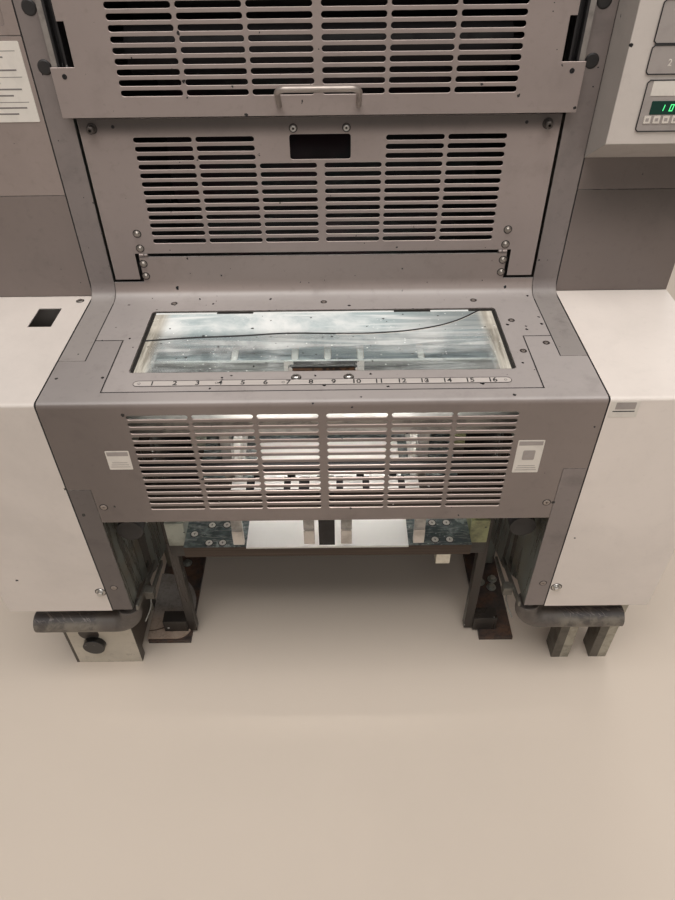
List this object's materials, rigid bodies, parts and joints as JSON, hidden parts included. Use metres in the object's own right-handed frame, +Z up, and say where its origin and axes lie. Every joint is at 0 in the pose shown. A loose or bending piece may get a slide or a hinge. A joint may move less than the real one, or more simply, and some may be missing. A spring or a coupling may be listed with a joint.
{
  "type": "offset printing press",
  "caption": "Sheet-fed offset press with a delivery under a windowed deck, slotted guards on the tower, side cabinets, a lifting pile board and a feeder at the far end.",
  "frame": {"origin": "on the floor under the middle of the machine", "axes": "+Z up, -Y towards the person at the delivery, +X to that person's right"},
  "size_m": [1.18, 2.4, 1.56],
  "materials": {
    "warm_grey_paint": "satin warm grey machine paint, worn at the edges",
    "white_paint": "satin off-white machine paint",
    "cast_frame": "oily painted casting",
    "galvanised": "dull galvanised steel",
    "bright_steel": "worn bright steel",
    "worn_tube": "scratched painted tube",
    "foot_paint": "greenish grey paint, oily",
    "rusty_plate": "oily rusty steel plate",
    "black_paint": "black satin paint",
    "black_plastic": "matte black plastic",
    "white_plastic": "matte white plastic",
    "key_plastic": "pale key tops",
    "panel_plastic": "grey control plates",
    "pane": "clear pane, scratched",
    "scale_plate": "pale anodised scale plate",
    "cylinder_chrome": "ground cylinder surface",
    "ink_rubber": "dark ink roller rubber",
    "board_wood": "dark coated board, worn",
    "feed_wood": "plain board",
    "paper": "uncoated white paper"
  },
  "bodies": {
    "machine": {"front_guard": "warm_grey_paint", "leg_strips": "warm_grey_paint", "window_panel": "warm_grey_paint", "window_pane": "pane", "zone_strip": "scale_plate", "post_fairings": "warm_grey_paint", "post_plugs": "black_plastic", "delivery_cabinet_left": "white_paint", "delivery_cabinet_right": "white_paint", "foot_tubes": "worn_tube", "cabinet_foot_left": "foot_paint", "cabinet_legs_right": "galvanised", "floor_plates": "rusty_plate", "side_frame_left": "cast_frame", "side_frame_right": "cast_frame", "sheet_stops": "bright_steel", "sheet_guide_plate": "galvanised", "sheet_brake": "white_plastic", "tie_bars": "black_paint", "lift_rails": "black_paint", "jogger_knobs": "black_plastic", "tower_panels": "warm_grey_paint", "control_box": "white_paint", "control_panel": "panel_plastic", "control_keys": "key_plastic", "guard_rails": "black_paint", "printing_cylinders": "cylinder_chrome", "impression_cylinder": "cylinder_chrome", "ink_rollers": "ink_rubber", "front_cover": "warm_grey_paint", "rear_cover": "warm_grey_paint", "top_cover": "warm_grey_paint", "unit_cover_left": "warm_grey_paint", "unit_cover_right": "warm_grey_paint", "lower_covers": "white_paint", "feeder_sides": "white_paint", "feed_board": "bright_steel", "feeder_head": "black_paint", "feeder_pile_board": "feed_wood", "feeder_paper": "paper", "rear_guard": "black_paint"},
    "middle_guard": {"middle_guard": "warm_grey_paint"},
    "upper_guard": {"upper_guard": "warm_grey_paint", "guard_handle": "bright_steel"},
    "pile": {"pile_board": "board_wood", "pile_carriers": "galvanised", "paper_stack": "paper"}
  },
  "joints": [
    {"name": "middle_guard_hinge", "type": "hinge", "parent": "machine", "child": "middle_guard", "pos_m": [0, -0.89, 0.793], "axis": [1, 0, 0], "range_deg": [0, 95]},
    {"name": "upper_guard_slide", "type": "slide", "parent": "machine", "child": "upper_guard", "axis": [0, 0, 1], "range_m": [0, 0.24]},
    {"name": "pile_lift", "type": "slide", "parent": "machine", "child": "pile", "axis": [0, 0, 1], "range_m": [-0.25, 0.1]}
  ]
}
